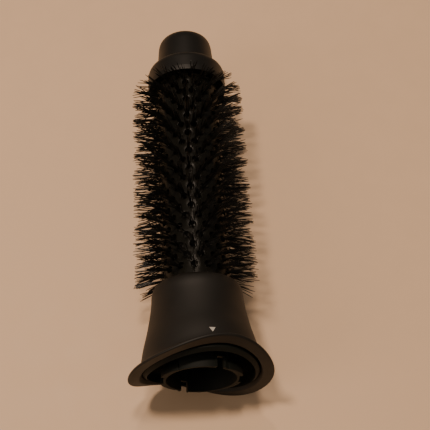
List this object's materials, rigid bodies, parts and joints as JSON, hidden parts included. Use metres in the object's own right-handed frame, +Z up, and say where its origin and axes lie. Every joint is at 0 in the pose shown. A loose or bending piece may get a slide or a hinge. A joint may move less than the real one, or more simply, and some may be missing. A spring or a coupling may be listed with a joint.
{
  "type": "round barrel brush",
  "caption": "Round thermal brush attachment: perforated barrel with bristle tufts, cool tip, flared skirt with a wavy brim and bayonet connector.",
  "frame": {"origin": "point of the table under the middle of the brush, which lies on its brim", "axes": "+Y along the barrel from the connector to the cool tip, +Z up from the table, +X to the right seen from the connector"},
  "size_m": [0.0596, 0.1764, 0.0596],
  "materials": {
    "skirt_plastic": "satin black with a warm tone, soft sheen",
    "tip_plastic": "satin black with a warm tone",
    "inner_plastic": "dark heat-resistant plastic, half matt",
    "barrel_gloss": "glossy black",
    "nylon": "black nylon bristle",
    "steel": "zinc-plated",
    "fibre": "pressed insulating fibre",
    "white_mark": "matt white"
  },
  "bodies": {
    "root": {"outer_skirt": "skirt_plastic", "index_mark": "white_mark", "skirt_liner": "inner_plastic", "connector_sleeve": "inner_plastic", "barrel_seat": "inner_plastic", "barrel_shell": "barrel_gloss", "bristle_strip_01": "nylon", "bristle_strip_02": "nylon", "bristle_strip_03": "nylon", "bristle_strip_04": "nylon", "bristle_strip_05": "nylon", "bristle_strip_06": "nylon", "bristle_strip_07": "nylon", "bristle_strip_08": "nylon", "bristle_strip_09": "nylon", "bristle_strip_10": "nylon", "bristle_strip_11": "nylon", "bristle_strip_12": "nylon", "bristle_strip_13": "nylon", "bristle_strip_14": "nylon", "bristle_strip_15": "nylon", "bristle_strip_16": "nylon", "connector_spider": "inner_plastic", "base_strip_spider": "inner_plastic", "tip_strip_spider": "inner_plastic", "tie_rod": "steel", "rod_washer": "steel", "rod_nut": "steel", "tip_collar": "tip_plastic", "insulating_washer": "fibre", "cool_tip_knob": "tip_plastic"}
  },
  "joints": []
}
